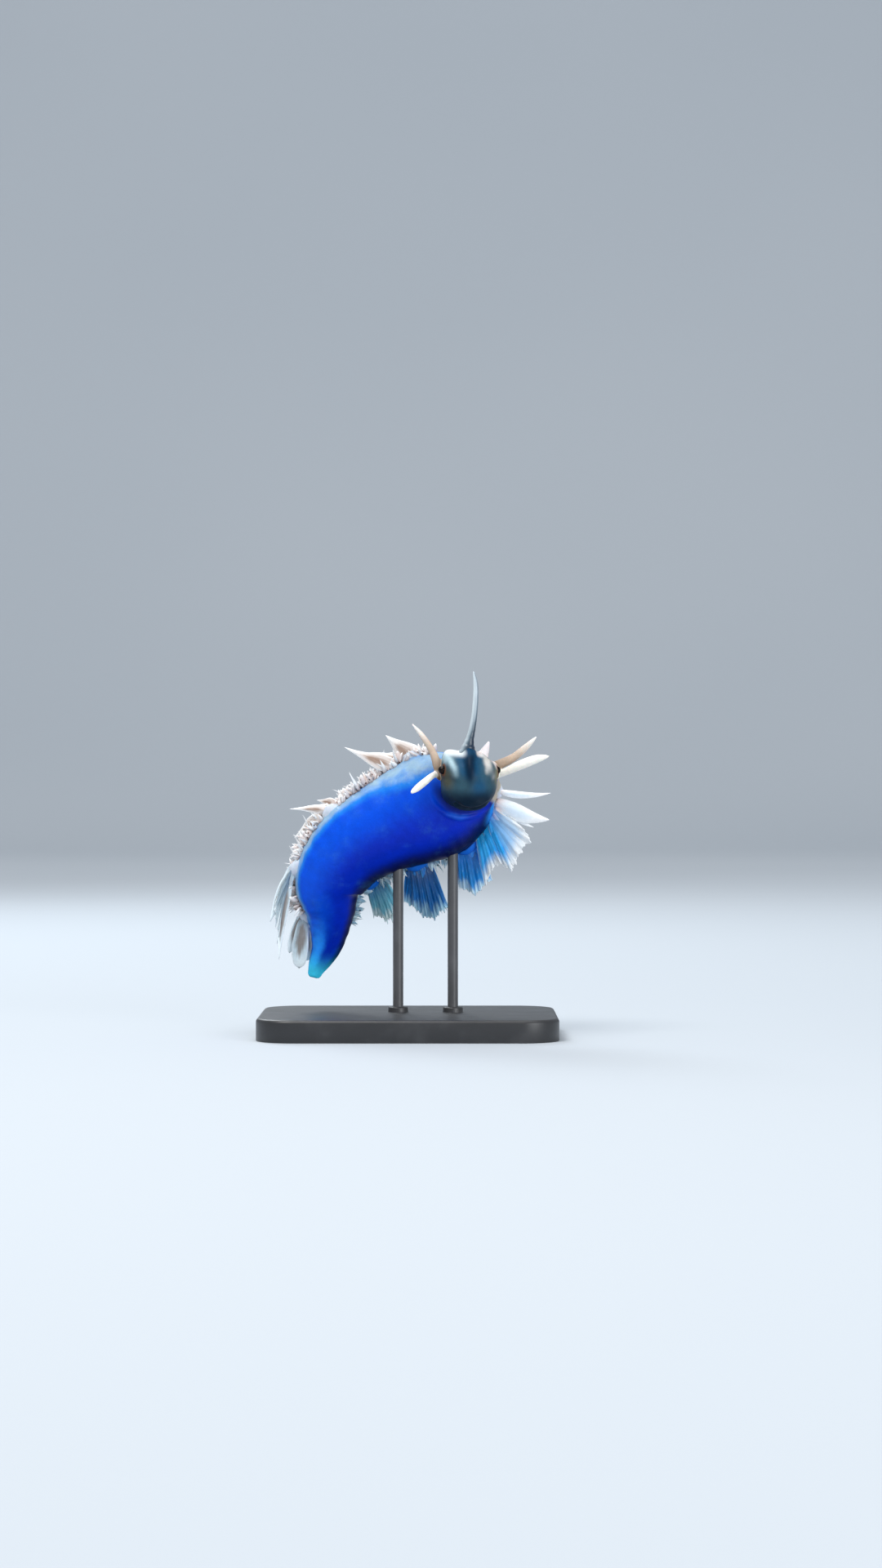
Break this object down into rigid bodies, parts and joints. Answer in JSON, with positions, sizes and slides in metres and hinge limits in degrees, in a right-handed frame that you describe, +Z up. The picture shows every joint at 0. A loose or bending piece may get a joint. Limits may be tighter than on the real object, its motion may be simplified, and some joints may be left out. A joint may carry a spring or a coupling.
{
  "type": "blue dragon sea slug",
  "caption": "Life-size blue dragon sea slug arched as it swims, face to the front, with fans of cerata, held over a flat base by two short rods.",
  "frame": {"origin": "middle of the base's underside, on the surface that the stand rests on", "axes": "+Z up, -Y towards the viewer of the slug's face and belly, +X towards the slug's head end and its own left side"},
  "size_m": [0.04, 0.028, 0.0487],
  "materials": {
    "body_blue": "wet, smooth skin, deep blue below with pale edges and silver grey above",
    "head_grey": "wet, smooth skin, grey and off-white with a dark blue stripe",
    "horn_white": "wet, smooth skin, bluish white",
    "rhinophore_tan": "wet, smooth skin, pinkish tan with white tips",
    "ceras_white": "wet, translucent skin, blue at the root to white at the tip",
    "eye_black": "glossy black",
    "stand_black": "satin black paint"
  },
  "bodies": {
    "root": {"head": "head_grey", "horn": "horn_white", "rhinophore_right": "rhinophore_tan", "rhinophore_left": "rhinophore_tan", "oral_tentacle_right": "horn_white", "oral_tentacle_left": "horn_white", "eye_right": "eye_black", "eye_left": "eye_black", "torso_front": "body_blue", "torso_mid": "body_blue", "torso_rear": "body_blue", "tail": "body_blue", "arm_left_1": "ceras_white", "arm_left_2": "ceras_white", "arm_left_3": "ceras_white", "arm_left_4": "ceras_white", "arm_right_1": "ceras_white", "arm_right_2": "ceras_white", "arm_right_3": "ceras_white", "arm_right_4": "ceras_white", "stand_base": "stand_black", "stand_rod_1": "stand_black", "stand_rod_2": "stand_black"}
  },
  "joints": []
}
